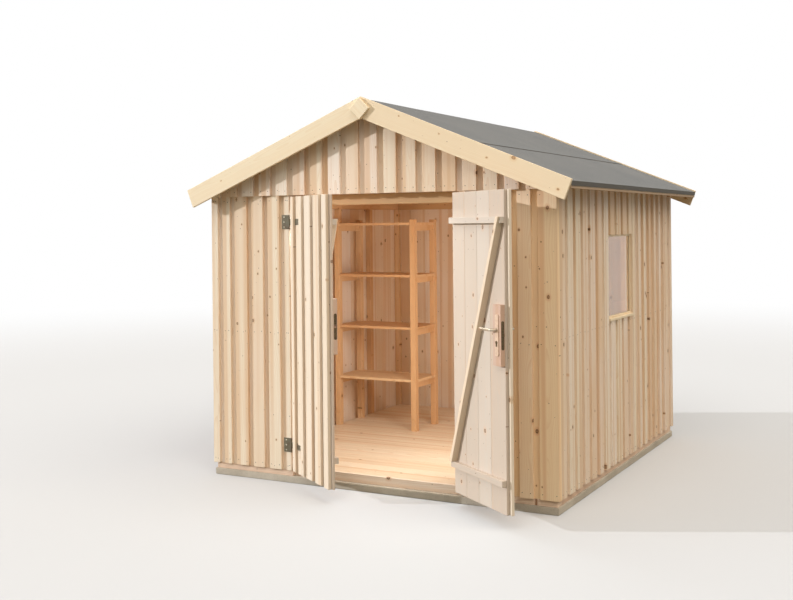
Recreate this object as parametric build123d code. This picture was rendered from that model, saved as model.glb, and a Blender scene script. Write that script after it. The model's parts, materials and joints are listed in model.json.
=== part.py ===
from build123d import *
import math
import os

os.makedirs("parts", exist_ok=True)

# A garden shed of board-on-board timber on a low concrete base. Millimetres, +Z up.
# The origin is the centre of the footprint on the ground. The doors are in the wall that faces -Y.

# Driving sizes of the whole building
shed_width = 2556.0
shed_depth = 2707.0
wall_height = 1860.0
roof_pitch = 22.0
front_overhang = 103.0
back_overhang = 318.0
eave_overhang = 132.0

# Base and floor
plinth_height = 45.0
plinth_setback = 8.0
sole_height = 40.0
sole_width = 70.0
sole_setback = 19.0
floor_thickness = 18.0
joist_width = 45.0
joist_count = 5
threshold_to_joist = 200.0
threshold_thickness = 18.0

# Cladding and frame
cover_thickness = 19.0
wall_board_thickness = 25.0
cover_width = 94.0
cover_gap = 50.0
least_cover_gap = 25.0
widest_cover_gap = 62.0
least_cover_strip = 2.0
front_left_covers = (54, 63, 104, 94, 97, 41)
front_right_covers = (41, 112, 100, 88, 123)
side_first_cover = 99.0
side_last_cover = 150.0
gable_cover_width = 92.0
gable_cover_gap = 47.5
gable_cover_from_middle = -22.0
gable_proud = 19.0
stud = 45.0
back_stud_from_middle = 425.0
top_plate_height = 70.0
joint_gap = 0.5
deck_seat_gap = 0.3

# Doorway and leaves
opening_width = 1258.0
doorway_offset = 8.0
leaf_top_gap = 9.0
leaf_board_thickness = 19.0
leaf_covers = (50, 92, 100, 93, 70)
meeting_gap = 8.0
astragal_lap = 20.0
astragal_clearance = 8.0
astragal_root = 60.0
running_gap = 5.0
hinge_edge_gap = 8.0
wall_edge_gap = 4.0
ledge_thickness = 28.0
ledge_height = 38.0
ledge_edge_setback = 3.0
top_ledge_z = 1658.0
bottom_ledge_z = 160.0
brace_width = 30.0
brace_thickness = 40.0
left_rest_angle = 34.5
right_rest_angle = 143.5

# Hinges
hinge_axis_out = 6.0
knuckle_radius = 6.0
knuckle_end_gap = 0.5
pin_radius = 3.0
pin_clearance = 0.1
hinge_plate_width = 60.0
hinge_plate_height = 95.0
hinge_steel = 3.0
strap_height = 41.0
strap_length = 150.0
strap_clearance = 0.5
lower_hinge_z = 126.0
upper_hinge_z = 1633.0

# Lock
lock_block_width = 90.0
lock_block_height = 350.0
lock_centre_z = 1020.0
spindle_z = 1052.0
spindle_backset = 40.0
spindle_clearance = 0.4
lock_plate_width = 36.0
lock_plate_height = 235.0
lock_plate_thickness = 6.0
lock_plate_corner = 10.0
faceplate_width = 20.0
faceplate_height = 165.0
faceplate_thickness = 2.0
latch_reach = 9.0
latch_width = 12.0
latch_height = 18.0
latch_rise = 4.0
latch_nose = 2.0
strike_depth = 12.0
strike_clearance = 2.0
cylinder_radius = 8.5
cylinder_web = 10.0
cylinder_height = 33.0
cylinder_drop = 72.0
cylinder_proud = 4.0
cylinder_clearance = 0.3
lever_length = 120.0
lever_reach = 48.0
lever_radius = 8.0
lever_bend = 16.0

# Window in the right-hand wall, seen from the front
window_start = 1026.0
window_width = 551.0
window_sill_z = 985.0
window_height = 587.0
window_frame_bar = 14.0
window_frame_depth = 40.0
window_frame_overlap = 30.0
window_sill_height = 18.0
window_sill_proud = 6.0
glass_thickness = 4.0
glass_setback = 14.0
glass_rebate = 6.0

# Roof
deck_over_wall = 68.0
deck_thickness = 19.0
felt_thickness = 4.0
felt_drop = 28.0
felt_seam_from_ridge = 850.0
felt_lap = 60.0
bargeboard_thickness = 19.0
bargeboard_height = 130.0
bargeboard_rise = 10.0
ridge_beam_width = 45.0
ridge_beam_height = 90.0
purlin_from_ridge = 760.0
purlin_height = 80.0
eave_setback = 10.0
eave_lath_height = 22.0
eave_lath_thickness = 19.0
apex_plate_side = 100.0
apex_plate_thickness = 19.0
apex_plate_drop = 80.0

# Storage rack inside, at the left
rack_front = 1500.0
rack_depth = 395.0
rack_width = 742.0
rack_height = 1696.0
rack_post = 45.0
rack_rail_thickness = 22.0
shelf_thickness = 20.0
shelf_count = 4
shelf_pitch = 416.0
lowest_shelf_z = 404.0

# Levels and edges worked out from the sizes above
half_width = shed_width / 2
front_y = -shed_depth / 2
back_y = shed_depth / 2
cladding_z = plinth_height + sole_height
wall_top_z = cladding_z + wall_height
floor_top_z = cladding_z + floor_thickness
cladding_thickness = cover_thickness + wall_board_thickness
frame_back = cladding_thickness + stud
plate_bottom_z = wall_top_z - top_plate_height
slope = math.radians(roof_pitch)
left_hinge_x = doorway_offset - opening_width / 2
right_hinge_x = doorway_offset + opening_width / 2
door_left_x = left_hinge_x - wall_edge_gap
door_right_x = right_hinge_x + wall_edge_gap
hinge_y = front_y - hinge_axis_out
leaf_height = wall_height - leaf_top_gap
leaf_width = (opening_width - meeting_gap) / 2

# The roof planes: the bargeboards' top edges meet at the ridge, felt and deck lie below them
felt_below = bargeboard_rise
deck_below = felt_below + felt_thickness
soffit_below = deck_below + deck_thickness
ridge_rise = deck_over_wall + half_width * math.tan(slope) + soffit_below / math.cos(slope)
ridge_z = wall_top_z + ridge_rise


def plane_z(x, below):
    """Height at x of the roof plane that lies square to the slope by `below` under the edge line."""
    return ridge_z - abs(x) * math.tan(slope) - below / math.cos(slope)


def box(x, y, z):
    """A plain timber or plate between pairs of coordinates."""
    centre = Vector((x[0] + x[1]) / 2, (y[0] + y[1]) / 2, (z[0] + z[1]) / 2)
    return Pos(centre) * Box(x[1] - x[0], y[1] - y[0], z[1] - z[0])


def prism_xz(points, y):
    """A profile drawn in X and Z, extruded from y[0] to y[1]."""
    outline = [(px, y[0], pz) for px, pz in points]
    face = make_face(Polyline(*outline, close=True))
    return extrude(face, amount=y[1] - y[0], dir=(0, 1, 0))


def prism_xy(points, z):
    """A profile drawn in X and Y, extruded from z[0] to z[1]."""
    outline = [(px, py, z[0]) for px, py in points]
    face = make_face(Polyline(*outline, close=True))
    return extrude(face, amount=z[1] - z[0], dir=(0, 0, 1))


def cylinder_y(x, z, radius, y):
    """A cylinder along Y between two depths."""
    return Pos(x, (y[0] + y[1]) / 2, z) * Rot(90, 0, 0) * Cylinder(radius, y[1] - y[0])


def cylinder_z(x, y, radius, z):
    """An upright cylinder between two heights."""
    return Pos(x, y, (z[0] + z[1]) / 2) * Cylinder(radius, z[1] - z[0])


def mirrored(shape):
    """The same shape on the other side of the plane x=0."""
    return mirror(shape, about=Plane.YZ)


def front_to_back(shape):
    """The same shape on the other side of the plane y=0."""
    return mirror(shape, about=Plane.XZ)


def write(name, *shapes):
    """One STEP file for each named piece, with its separate solids."""
    solids = [s for shape in shapes for s in shape.solids()]
    result = solids[0] if len(solids) == 1 else Compound(children=solids)
    result.label = name
    export_step(result, f"parts/{name}.step")


def even_covers(length, first, last):
    """Cover boards from 0 to length: a first and a last one of their own width, even ones between."""
    inner = length - first - last
    count = max(0, round((inner - cover_gap) / (cover_width + cover_gap)))
    space = (inner - count * cover_width) / (count + 1)
    strips = [(0.0, first)]
    for i in range(count):
        start = first + space + i * (cover_width + space)
        strips.append((start, start + cover_width))
    strips.append((length - last, length))
    return strips


def spread_covers(length, widths):
    """Cover boards of the given widths with even gaps; a middle one goes or comes with the length."""
    widths = list(widths)

    def spare():
        return length - sum(widths)

    def too_open():
        return spare() > widest_cover_gap * (len(widths) - 1)

    while len(widths) > 2 and spare() < least_cover_gap * (len(widths) - 1):
        widths.pop(len(widths) // 2)
    while too_open() and spare() - cover_width > least_cover_gap * len(widths):
        widths.insert(len(widths) // 2, cover_width)
    space = spare() / (len(widths) - 1)
    strips = []
    start = 0.0
    for width in widths:
        strips.append((start, start + width))
        start += width + space
    return strips


def clip(strips, low, high):
    """The parts of the cover boards between low and high, counted from low."""
    kept = []
    for start, end in strips:
        a = max(start, low)
        b = min(end, high)
        if b - a > least_cover_strip:
            kept.append((a - low, b - low))
    return kept


def ribbed(length, strips, board_thickness, z):
    """A wall panel along X with its cover boards at y=0 and its back at cover plus board thickness."""
    back = cover_thickness + board_thickness
    points = [(0, back), (0, cover_thickness)]
    for start, end in strips:
        points += [(start, cover_thickness), (start, 0), (end, 0), (end, cover_thickness)]
    points += [(length, cover_thickness), (length, back)]
    outline = []
    for i, point in enumerate(points):
        before, after = points[i - 1], points[(i + 1) % len(points)]
        same = point in outline[-1:]
        straight = before[0] == point[0] == after[0] or before[1] == point[1] == after[1]
        if not same and not straight:
            outline.append(point)
    return prism_xy(outline, z)


# Concrete base and sole timbers
base_x = half_width - plinth_setback
base_y = -front_y - plinth_setback
write("concrete_base", box((-base_x, base_x), (-base_y, base_y), (0, plinth_height)))

sole_z = (plinth_height, cladding_z)
sole_out_y = front_y + sole_setback
sole_in_y = sole_out_y + sole_width
sole_out_x = half_width - sole_setback
sole_in_x = sole_out_x - sole_width
side_sole = box((sole_in_x, sole_out_x), (sole_in_y, -sole_in_y), sole_z)
write("side_sole_timbers", side_sole, mirrored(side_sole))
write(
    "end_sole_timbers",
    box((-sole_out_x, sole_out_x), (-sole_in_y, -sole_out_y), sole_z),
    box((-sole_out_x, door_left_x), (sole_out_y, sole_in_y), sole_z),
    box((door_right_x, sole_out_x), (sole_out_y, sole_in_y), sole_z),
)

# Floor, its joists and the threshold
doorway_x = (door_left_x, door_right_x)
threshold_y = front_y + cladding_thickness
floor_lip_y = threshold_y + threshold_thickness
write("threshold", box(doorway_x, (threshold_y, floor_lip_y), (plinth_height, floor_top_z)))
inner_x = half_width - frame_back
inner_front = front_y + frame_back
floor_z = (cladding_z, floor_top_z)
floor = box((-inner_x, inner_x), (inner_front, -inner_front), floor_z)
floor += box(doorway_x, (floor_lip_y, inner_front), floor_z)
write("floor", floor)
joists = [box(doorway_x, (floor_lip_y, floor_lip_y + joist_width), sole_z)]
first_joist = floor_lip_y + joist_width + threshold_to_joist
last_joist = -sole_in_y - joist_width
for i in range(joist_count):
    y = first_joist + (last_joist - first_joist) * i / (joist_count - 1)
    joists.append(box((-sole_in_x, sole_in_x), (y, y + joist_width), sole_z))
write("floor_joists", *joists)

# Front wall on both sides of the doorway, the cover boards counted from the left
wall_z = (cladding_z, wall_top_z)
left_length = half_width + door_left_x
right_length = half_width - door_right_x
left_strips = spread_covers(left_length, front_left_covers)
right_strips = spread_covers(right_length, front_right_covers)
front_left = ribbed(left_length, left_strips, wall_board_thickness, wall_z)
front_right = ribbed(right_length, right_strips, wall_board_thickness, wall_z)
write("front_wall", Pos(-half_width, front_y, 0) * front_left, Pos(door_right_x, front_y, 0) * front_right)

# Back wall
back_strips = even_covers(shed_width, cover_width, cover_width)
back_panel = ribbed(shed_width, back_strips, wall_board_thickness, wall_z)
write("back_wall", Pos(half_width, back_y, 0) * Rot(0, 0, 180) * back_panel)

# Side walls run between the front and back cladding, up to the roof deck
side_length = shed_depth - 2 * cladding_thickness
side_start = front_y + cladding_thickness
side_top_z = plane_z(half_width, soffit_below) - deck_seat_gap
side_z = (cladding_z, side_top_z)
side_strips = even_covers(side_length, side_first_cover, side_last_cover)
turned_strips = [(side_length - end, side_length - start) for start, end in reversed(side_strips)]
left_panel = ribbed(side_length, turned_strips, wall_board_thickness, side_z)
write("left_wall", Pos(-half_width, -side_start, 0) * Rot(0, 0, -90) * left_panel)

window_from = window_start - cladding_thickness
window_to = window_from + window_width
window_z = (cladding_z + window_sill_z, cladding_z + window_sill_z + window_height)


def right_side(low, high, z):
    """A piece of the right-hand wall between two distances from its front end."""
    panel = ribbed(high - low, clip(side_strips, low, high), wall_board_thickness, z)
    return Pos(half_width, side_start + low, 0) * Rot(0, 0, 90) * panel


write("right_wall", right_side(0, window_from, side_z), right_side(window_to, side_length, side_z))
write(
    "right_wall_at_window",
    right_side(window_from, window_to, (cladding_z, window_z[0])),
    right_side(window_from, window_to, (window_z[1], side_top_z)),
)

# Fixed window: a frame of four bars set in the opening, with a sill and one pane
window_y = (side_start + window_from, side_start + window_to)
frame_out_x = half_width - cladding_thickness + window_frame_overlap
frame_x = (frame_out_x - window_frame_depth, frame_out_x)
frame_z = (window_z[0] + window_sill_height, window_z[1])
daylight_y = (window_y[0] + window_frame_bar, window_y[1] - window_frame_bar)
daylight_z = (frame_z[0] + window_frame_bar, frame_z[1] - window_frame_bar)
glass_x = (frame_out_x - glass_setback, frame_out_x - glass_setback + glass_thickness)
pane_y = (daylight_y[0] - glass_rebate, daylight_y[1] + glass_rebate)
pane_z = (daylight_z[0] - glass_rebate, daylight_z[1] + glass_rebate)
pane = box(glass_x, pane_y, pane_z)
write("window_frame", box(frame_x, window_y, frame_z) - box(frame_x, daylight_y, daylight_z) - pane)
write("window_glass", pane)
sill_x = (frame_x[0], half_width + window_sill_proud)
write("window_sill", box(sill_x, window_y, (window_z[0], frame_z[0])))

# Studs: corners, door posts, and posts along the sides and the back
stud_z = (cladding_z, plate_bottom_z)
front_stud_y = front_y + cladding_thickness
back_stud_y = -front_stud_y - stud
left_stud_x = -half_width + cladding_thickness
right_stud_x = -left_stud_x - stud


def stud_at(x, y):
    """One upright with its corner at x, y."""
    return box((x, x + stud), (y, y + stud), stud_z)


studs = [stud_at(x, y) for x in (left_stud_x, right_stud_x) for y in (front_stud_y, back_stud_y)]
studs += [stud_at(x, front_stud_y) for x in (door_left_x - stud, door_right_x)]
studs += [stud_at(side * back_stud_from_middle - stud / 2, back_stud_y) for side in (-1, 1)]
rear_post_y = (window_y[1] + back_stud_y) / 2
for y in (window_y[0] - stud, window_y[1], rear_post_y):
    studs += [stud_at(left_stud_x, y), stud_at(right_stud_x, y)]
write("wall_studs", *studs)

# Top plates: the side ones are bevelled under the roof deck
end_plate_z = (plate_bottom_z, wall_top_z)
end_plate = box((-inner_x, inner_x), (front_stud_y, front_stud_y + stud), end_plate_z)
write("end_top_plates", end_plate, front_to_back(end_plate))
plate_out_x = half_width - cladding_thickness
plate_in_x = plate_out_x - stud
plate_points = [
    (plate_in_x, plate_bottom_z),
    (plate_out_x, plate_bottom_z),
    (plate_out_x, plane_z(plate_out_x, soffit_below)),
    (plate_in_x, plane_z(plate_in_x, soffit_below)),
]
side_plate = prism_xz(plate_points, (front_stud_y, -front_stud_y))
write("side_top_plates", side_plate, mirrored(side_plate))

# Roof timbers: a ridge beam and a purlin in each slope, through both gables
roof_y = (front_y - front_overhang, back_y + back_overhang)
deck_y = (roof_y[0] + bargeboard_thickness, roof_y[1] - bargeboard_thickness)
beam_half = ridge_beam_width / 2
beam_top_z = plane_z(0, soffit_below)
beam_bottom_z = beam_top_z - ridge_beam_height
beam_points = [
    (-beam_half, beam_bottom_z),
    (beam_half, beam_bottom_z),
    (beam_half, plane_z(beam_half, soffit_below)),
    (0, beam_top_z),
    (-beam_half, plane_z(beam_half, soffit_below)),
]
write("ridge_beam", prism_xz(beam_points, deck_y))
purlin_x = (purlin_from_ridge * math.cos(slope), purlin_from_ridge * math.cos(slope) + stud)
purlin_low_z = plane_z(purlin_x[0], soffit_below) - purlin_height
purlin_points = [
    (purlin_x[0], purlin_low_z),
    (purlin_x[1], purlin_low_z),
    (purlin_x[1], plane_z(purlin_x[1], soffit_below)),
    (purlin_x[0], plane_z(purlin_x[0], soffit_below)),
]
purlin = prism_xz(purlin_points, deck_y)
write("purlins", purlin, mirrored(purlin))

# Gables: clad panels that stand a board's thickness proud of the wall, cut under the roof deck
gable_side_z = plane_z(half_width, soffit_below) - deck_seat_gap
gable_top_z = plane_z(0, soffit_below) - deck_seat_gap
gable_pitch = gable_cover_width + gable_cover_gap
gable_middle = half_width + gable_cover_from_middle
gable_first = gable_middle - math.ceil(gable_middle / gable_pitch) * gable_pitch
gable_count = math.ceil((shed_width - gable_first) / gable_pitch)
gable_starts = [gable_first + i * gable_pitch for i in range(gable_count)]
gable_strips = clip([(start, start + gable_cover_width) for start in gable_starts], 0, shed_width)
gable_panel = ribbed(shed_width, gable_strips, wall_board_thickness, (wall_top_z, ridge_z))
gable_y = (front_y - gable_proud, front_y - gable_proud + cladding_thickness)
gable_points = [
    (-half_width, wall_top_z),
    (half_width, wall_top_z),
    (half_width, gable_side_z),
    (0, gable_top_z),
    (-half_width, gable_side_z),
]
beam_hole_x = (-beam_half - joint_gap, beam_half + joint_gap)
beam_hole = box(beam_hole_x, gable_y, (beam_bottom_z - joint_gap, ridge_z))
purlin_hole_x = (purlin_x[0] - joint_gap, purlin_x[1] + joint_gap)
purlin_hole = box(purlin_hole_x, gable_y, (purlin_low_z - joint_gap, ridge_z))
gable = (Pos(-half_width, gable_y[0], 0) * gable_panel) & prism_xz(gable_points, gable_y)
gable = gable - beam_hole - purlin_hole - mirrored(purlin_hole)
write("front_gable", gable)
write("back_gable", front_to_back(gable))

# Rails and posts inside the gables carry the roof timbers
rail_y = (gable_y[1], gable_y[1] + stud)
rail_z = (wall_top_z, wall_top_z + stud)
between_plates = plate_in_x - joint_gap
rail = box((-half_width, half_width), (rail_y[0], threshold_y), rail_z)
rail += box((-between_plates, between_plates), (threshold_y, rail_y[1]), rail_z)
rail_end = box((plate_in_x, half_width), (rail_y[0], threshold_y), (wall_top_z, gable_side_z))
ridge_post = box((-beam_half, beam_half), rail_y, (rail_z[1], beam_bottom_z))
purlin_post = box(purlin_x, rail_y, (rail_z[1], purlin_low_z))
gable_frame = rail + rail_end + mirrored(rail_end) + ridge_post + purlin_post + mirrored(purlin_post)
write("gable_frames", gable_frame, front_to_back(gable_frame))

# Roof deck of boards on the beams, with an open joint along the ridge
eave_x = half_width + eave_overhang - eave_setback
joint_x = joint_gap / 2
deck_points = [
    (joint_x, plane_z(joint_x, deck_below)),
    (eave_x, plane_z(eave_x, deck_below)),
    (eave_x, plane_z(eave_x, soffit_below)),
    (joint_x, plane_z(joint_x, soffit_below)),
]
deck = prism_xz(deck_points, deck_y)
write("roof_deck", deck, mirrored(deck))

# Roofing felt: one course along each eave, turned down over the deck's edge, and a top course
seam_x = felt_seam_from_ridge * math.cos(slope)
lap_x = seam_x - felt_lap
felt_out_x = eave_x + felt_thickness
drop_z = plane_z(felt_out_x, felt_below) - felt_drop
felt_points = [
    (lap_x, plane_z(lap_x, felt_below)),
    (felt_out_x, plane_z(felt_out_x, felt_below)),
    (felt_out_x, drop_z),
    (eave_x, drop_z),
    (eave_x, plane_z(eave_x, deck_below)),
    (lap_x, plane_z(lap_x, deck_below)),
]
felt = prism_xz(felt_points, deck_y)
write("roof_felt_eaves", felt, mirrored(felt))
lap_below = felt_below - felt_thickness
lap_ramp = 3 * felt_thickness
top_side = [
    (lap_x - lap_ramp, felt_below),
    (lap_x, lap_below),
    (seam_x, lap_below),
    (seam_x, felt_below),
    (lap_x, felt_below),
    (lap_x, deck_below),
]
top_points = [(0, plane_z(0, felt_below))]
top_points += [(x, plane_z(x, below)) for x, below in top_side]
top_points += [(0, plane_z(0, deck_below))]
top_points += [(-x, plane_z(x, below)) for x, below in reversed(top_side)]
write("roof_felt_top", prism_xz(top_points, deck_y))

# Bargeboards: sloping boards at both gable ends, cut square at the eave and plumb at the ridge
barge_foot_x = half_width + eave_overhang
barge_low_x = barge_foot_x - bargeboard_height * math.sin(slope)
barge_low_z = plane_z(barge_foot_x, 0) - bargeboard_height * math.cos(slope)
barge_points = [
    (joint_x, plane_z(joint_x, 0)),
    (barge_foot_x, plane_z(barge_foot_x, 0)),
    (barge_low_x, barge_low_z),
    (joint_x, plane_z(joint_x, bargeboard_height)),
]
front_barge = prism_xz(barge_points, (roof_y[0], deck_y[0]))
back_barge = prism_xz(barge_points, (deck_y[1], roof_y[1]))
write("front_bargeboards", front_barge, mirrored(front_barge))
write("back_bargeboards", back_barge, mirrored(back_barge))
apex_half = apex_plate_side / math.sqrt(2)
apex_z = ridge_z - apex_plate_drop
apex_points = [(0, apex_z - apex_half), (apex_half, apex_z), (0, apex_z + apex_half), (-apex_half, apex_z)]
write(
    "apex_plates",
    prism_xz(apex_points, (roof_y[0] - apex_plate_thickness, roof_y[0])),
    prism_xz(apex_points, (roof_y[1], roof_y[1] + apex_plate_thickness)),
)

# Eave laths under the deck's edge
lath_x = (eave_x - eave_lath_thickness, eave_x)
lath_low_z = plane_z(lath_x[1], soffit_below) - eave_lath_height
lath_points = [
    (lath_x[0], plane_z(lath_x[0], soffit_below)),
    (lath_x[0], lath_low_z),
    (lath_x[1], lath_low_z),
    (lath_x[1], plane_z(lath_x[1], soffit_below)),
]
lath = prism_xz(lath_points, deck_y)
write("eave_laths", lath, mirrored(lath))

# Hinges. Each leaf hangs on two cranked tee hinges whose axis stands proud of the cover boards.
# Leaves are drawn closed, with the hinge axis at x=0, y=0, the leaf along +X and -Y outside.
face_y = hinge_axis_out
board_y = face_y + cover_thickness
back_of_boards = board_y + leaf_board_thickness
strap_y = (board_y - hinge_steel, board_y)
crank_x = (hinge_edge_gap - strap_clearance - hinge_steel, hinge_edge_gap - strap_clearance)
hinge_heights = (cladding_z + lower_hinge_z, cladding_z + upper_hinge_z)


def strap_z(z0, clearance=0.0):
    """Heights of the strap of the hinge whose plate starts at z0."""
    middle = z0 + hinge_plate_height / 2
    reach = strap_height / 2 + clearance
    return (middle - reach, middle + reach)


def wall_hinge(z0):
    """Fixed half of a hinge: a plate on the wall, two knuckles and the pin."""
    plate_z = (z0, z0 + hinge_plate_height)
    plate = box((-hinge_plate_width, 0), (face_y - hinge_steel, face_y), plate_z)
    slot_z = strap_z(z0, knuckle_end_gap)
    slot_reach = knuckle_radius + hinge_steel
    slot = box((-slot_reach, slot_reach), (-slot_reach, slot_reach), slot_z)
    pin = cylinder_z(0, 0, pin_radius, slot_z)
    return (plate + cylinder_z(0, 0, knuckle_radius, plate_z) - slot) + pin


def strap(z0):
    """Moving half of a hinge: the middle knuckle, a crank through the joint and a strap on the boards."""
    z = strap_z(z0)
    shape = cylinder_z(0, 0, knuckle_radius, z) + box(crank_x, (0, board_y), z)
    shape += box((crank_x[0], strap_length), strap_y, z)
    return shape - cylinder_z(0, 0, pin_radius + pin_clearance, z)


# Leaves
leaf_z = (cladding_z, cladding_z + leaf_height)


def leaf_boards(strips, overlap):
    """Boards and cover boards of one leaf, the covers notched over the straps."""
    panel = ribbed(leaf_width - hinge_edge_gap, strips, leaf_board_thickness, leaf_z)
    panel = Pos(hinge_edge_gap, face_y, 0) * panel
    if overlap > 0:
        panel += box((leaf_width - astragal_root, leaf_width + overlap), (face_y, board_y), leaf_z)
    first_cover_end = hinge_edge_gap + strips[0][1]
    for z0 in hinge_heights:
        z = strap_z(z0, strap_clearance)
        panel -= box((0, first_cover_end), (strap_y[0] - strap_clearance, board_y), z)
        panel -= box((first_cover_end, strap_length + strap_clearance), (face_y, board_y), z)
    return panel


def leaf_bracing():
    """Two ledges and a diagonal brace on edge on the inner face, as one joined frame."""
    ledge_y = (back_of_boards, back_of_boards + ledge_thickness)
    brace_y = (back_of_boards, back_of_boards + brace_thickness)
    x = (hinge_edge_gap, leaf_width - ledge_edge_setback)
    low_z = (cladding_z + bottom_ledge_z, cladding_z + bottom_ledge_z + ledge_height)
    high_z = (cladding_z + top_ledge_z, cladding_z + top_ledge_z + ledge_height)
    brace = [
        (x[0], low_z[1]),
        (x[0] + brace_width, low_z[1]),
        (x[1], high_z[1]),
        (x[1] - brace_width, high_z[1]),
    ]
    return box(x, ledge_y, low_z) + box(x, ledge_y, high_z) + prism_xz(brace, brace_y)


def on_left(shape):
    """A closed leaf's piece turned to its place on the left-hand door."""
    return Pos(left_hinge_x, hinge_y, 0) * Rot(0, 0, -left_rest_angle) * shape


def on_right(shape):
    """The same on the right-hand door, which is the mirror image."""
    return Pos(right_hinge_x, hinge_y, 0) * Rot(0, 0, right_rest_angle) * mirrored(shape)


left_fixed = [Pos(left_hinge_x, hinge_y, 0) * wall_hinge(z0) for z0 in hinge_heights]
right_fixed = [Pos(right_hinge_x, hinge_y, 0) * mirrored(wall_hinge(z0)) for z0 in hinge_heights]
write("wall_hinges", *left_fixed, *right_fixed)

# Left-hand leaf, rebated where the other leaf's last cover board laps over it
meeting_x = leaf_width - (astragal_lap - meeting_gap) - astragal_clearance
left_boards = leaf_boards(spread_covers(meeting_x - hinge_edge_gap, leaf_covers), 0)
left_boards -= box((meeting_x, leaf_width), (face_y, board_y + running_gap), leaf_z)
write("left_leaf_boards", on_left(left_boards))
write("left_leaf_bracing", on_left(leaf_bracing()))
write("left_leaf_straps", *[on_left(strap(z0)) for z0 in hinge_heights])

# Blocks on the inner faces carry the lock on one leaf and the strike plate on the other
lock_middle_z = cladding_z + lock_centre_z
block_x = (leaf_width - lock_block_width, leaf_width - ledge_edge_setback)
block_y = (back_of_boards, back_of_boards + ledge_thickness)
block_middle_y = (block_y[0] + block_y[1]) / 2


def lock_heights(height, rise=0.0):
    """Lowest and highest point of a lock piece of this height."""
    return (lock_middle_z + rise - height / 2, lock_middle_z + rise + height / 2)


def across_block(width):
    """Depths of a lock piece of this width, centred in the blocks."""
    return (block_middle_y - width / 2, block_middle_y + width / 2)


edge_block = box(block_x, block_y, lock_heights(lock_block_height))
faceplate_x = (block_x[1] - faceplate_thickness, block_x[1])
faceplate = box(faceplate_x, across_block(faceplate_width), lock_heights(faceplate_height))
faceplate = fillet(faceplate.edges().filter_by(Axis.X), faceplate_width / 2 - joint_gap)
strike_hole_z = lock_heights(latch_height + 2 * strike_clearance, latch_rise)
strike_hole_y = across_block(latch_width + 2 * strike_clearance)
strike_hole = box((block_x[1] - strike_depth, block_x[1]), strike_hole_y, strike_hole_z)
write("strike_block", on_left(edge_block - faceplate - strike_hole))
write("strike_plate", on_left(faceplate - strike_hole))

# The latch is bevelled on the side that meets the strike plate first
latch_y = across_block(latch_width)
latch_points = [
    (block_x[1] - faceplate_thickness, latch_y[0]),
    (block_x[1] + latch_reach, latch_y[0]),
    (block_x[1] + latch_nose, latch_y[1]),
    (block_x[1] - faceplate_thickness, latch_y[1]),
]
latch = prism_xy(latch_points, lock_heights(latch_height, latch_rise))
write("lock_faceplate", on_right(faceplate + latch))

# Right-hand leaf: boards, block and plates are bored for the spindle and the key cylinder
spindle_x = leaf_width - spindle_backset
spindle_height = cladding_z + spindle_z
inner_plate_y = (block_y[1], block_y[1] + lock_plate_thickness)
outer_plate_y = (face_y - lock_plate_thickness, face_y)
bore_y = (outer_plate_y[0] - cylinder_proud, inner_plate_y[1] + cylinder_proud)
spindle_bore = cylinder_y(spindle_x, spindle_height, lever_radius + spindle_clearance, bore_y)
cylinder_z0 = spindle_height - cylinder_drop


def key_cylinder(clearance):
    """A profile cylinder: a round barrel over a narrow web with a rounded foot."""
    radius = cylinder_radius + clearance
    web = cylinder_web / 2 + clearance
    foot_z = cylinder_z0 + cylinder_radius - cylinder_height + cylinder_web / 2
    shape = cylinder_y(spindle_x, cylinder_z0, radius, bore_y)
    shape += box((spindle_x - web, spindle_x + web), bore_y, (foot_z, cylinder_z0))
    return shape + cylinder_y(spindle_x, foot_z, web, bore_y)


bores = spindle_bore + key_cylinder(cylinder_clearance)
right_boards = leaf_boards(spread_covers(leaf_width - hinge_edge_gap, leaf_covers), astragal_lap)
write("right_leaf_boards", on_right(right_boards - bores))
write("right_leaf_bracing", on_right(leaf_bracing()))
write("right_leaf_straps", *[on_right(strap(z0)) for z0 in hinge_heights])
write("lock_block", on_right(edge_block - faceplate - bores))
write("key_cylinder", on_right(key_cylinder(0)))


def lock_plate(y):
    """A long plate round the spindle and the key cylinder, with rounded corners."""
    x = (spindle_x - lock_plate_width / 2, spindle_x + lock_plate_width / 2)
    plate = box(x, y, lock_heights(lock_plate_height))
    return fillet(plate.edges().filter_by(Axis.Y), lock_plate_corner) - bores


write("lock_plates", on_right(lock_plate(inner_plate_y)), on_right(lock_plate(outer_plate_y)))


# Lever handle: one spindle through the leaf, bent into a lever with a round end on each side
def lever(grip_y):
    """One half of the handle: a round bar from the spindle's middle, bent to the grip at this depth."""
    corner = Vector(spindle_x, grip_y, spindle_height)
    middle = Vector(spindle_x, (outer_plate_y[0] + inner_plate_y[1]) / 2, spindle_height)
    end = corner - Vector(lever_length, 0, 0)
    route = FilletPolyline(middle, corner, end, radius=lever_bend)
    section = Plane(middle, z_dir=corner - middle) * Circle(lever_radius)
    return sweep(section, path=route) + Pos(end) * Sphere(lever_radius)


grip_out = outer_plate_y[0] - lever_reach + lever_radius
grip_in = inner_plate_y[1] + lever_reach - lever_radius
write("lever_handle", on_right(lever(grip_out) + lever(grip_in)))

# Storage rack: two end frames with rails, and shelves notched round the posts
rack_x = (-inner_x, -inner_x + rack_width)
rack_y = (front_y + rack_front, front_y + rack_front + rack_depth)
rack_z = (floor_top_z, cladding_z + rack_height)
shelf_levels = [cladding_z + lowest_shelf_z + i * shelf_pitch for i in range(shelf_count)]


def rack_end(x0):
    """Front and rear post with a rail under each shelf."""
    x = (x0, x0 + rack_post)
    frame = box(x, (rack_y[0], rack_y[0] + rack_post), rack_z)
    frame += box(x, (rack_y[1] - rack_post, rack_y[1]), rack_z)
    rail_from = x0 + (rack_post - rack_rail_thickness) / 2
    for level in shelf_levels:
        between_posts = (rack_y[0] + rack_post, rack_y[1] - rack_post)
        frame += box((rail_from, rail_from + rack_rail_thickness), between_posts, (level - rack_post, level))
    return frame


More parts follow.
